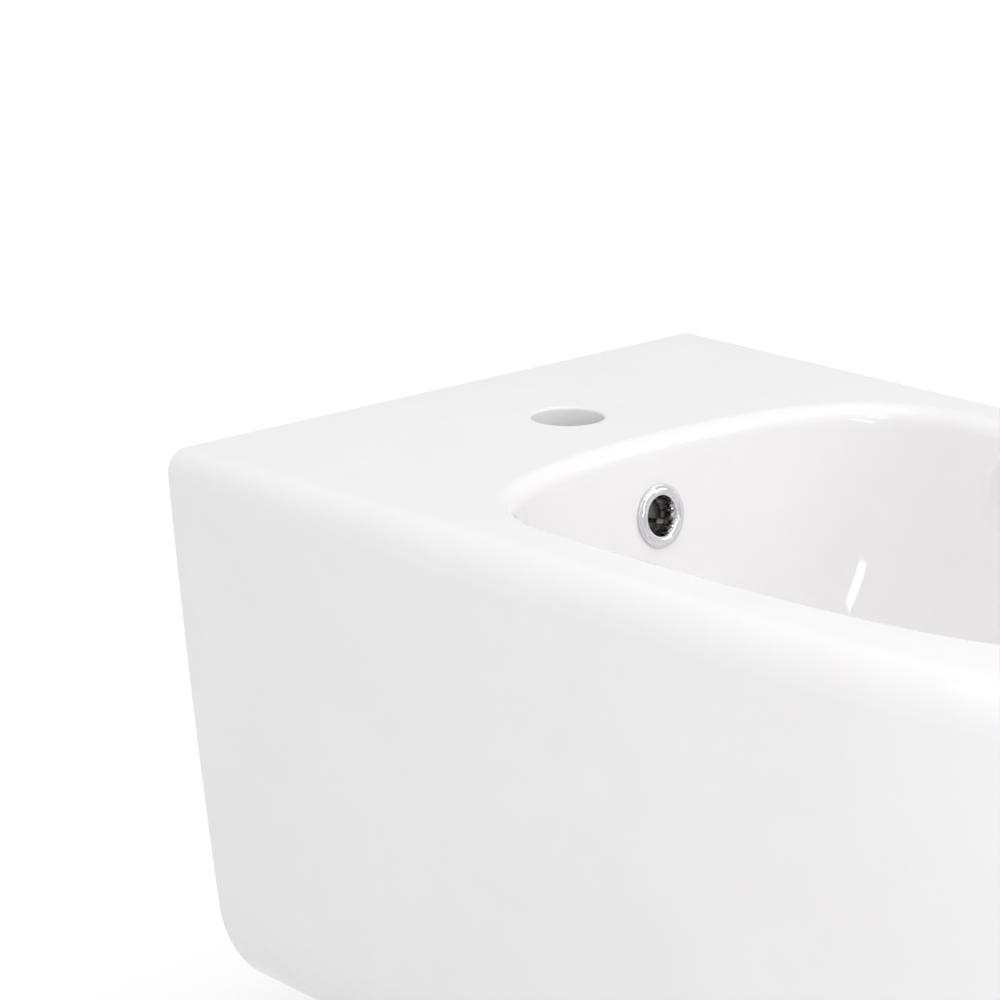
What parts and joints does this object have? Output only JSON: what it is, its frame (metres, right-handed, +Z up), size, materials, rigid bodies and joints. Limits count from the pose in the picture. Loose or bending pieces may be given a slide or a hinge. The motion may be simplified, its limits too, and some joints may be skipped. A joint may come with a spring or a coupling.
{
  "type": "wall-hung bidet",
  "caption": "Wall-hung bidet in white glazed ceramic: deck with a tap hole, deep rounded bowl, overflow ring, push-to-close waste and wall fixings.",
  "frame": {"origin": "midway between the two wall fixing holes, on the face that meets the wall", "axes": "+X right as seen from the room, +Y into the wall, +Z up"},
  "size_m": [0.355, 0.55, 0.293],
  "materials": {
    "glaze": "white gloss glaze",
    "ring_chrome": "polished chrome plate",
    "waste_chrome": "polished chrome plate",
    "cap_chrome": "polished chrome plate",
    "seal_rubber": "matt black rubber",
    "washer_plastic": "natural nylon",
    "nut_brass": "turned brass",
    "stem_brass": "turned brass",
    "latch_plastic": "moulded acetal",
    "bright_steel": "zinc plated and spring steel",
    "sleeve_plastic": "moulded polyethylene"
  },
  "bodies": {
    "bidet": {"ceramic_body": "glaze", "overflow_ring": "ring_chrome", "waste_body": "waste_chrome", "waste_top_seal": "seal_rubber", "waste_cone_seal": "seal_rubber", "waste_slip_washer": "washer_plastic", "waste_backnut": "nut_brass", "latch_housing": "stem_brass", "latch_spring": "bright_steel", "fixing_sleeve_left": "sleeve_plastic", "fixing_washer_left": "bright_steel", "fixing_nut_left": "bright_steel", "fixing_sleeve_right": "sleeve_plastic", "fixing_washer_right": "bright_steel", "fixing_nut_right": "bright_steel"},
    "plug": {"plug_cap": "cap_chrome", "plug_seal": "seal_rubber", "plug_stem": "stem_brass", "stem_clip": "bright_steel", "spring_seat": "bright_steel"},
    "latch": {"latch_ring": "latch_plastic"}
  },
  "joints": [
    {"name": "plug_slide", "type": "slide", "parent": "bidet", "child": "plug", "axis": [0, 0, 1], "range_m": [-0.008, 0], "stiffness_N_per_m": 400, "springref_m": 0.012, "deforming": ["latch_spring"]},
    {"name": "latch_turn", "type": "hinge", "parent": "plug", "child": "latch", "pos_m": [0, -0.265, -0.0835], "axis": [0, 0, 1], "range_deg": [-45, 0]}
  ],
  "couplings": [
    {"joint": "latch_turn", "follows": "plug_slide", "rad_per_m": 98}
  ]
}
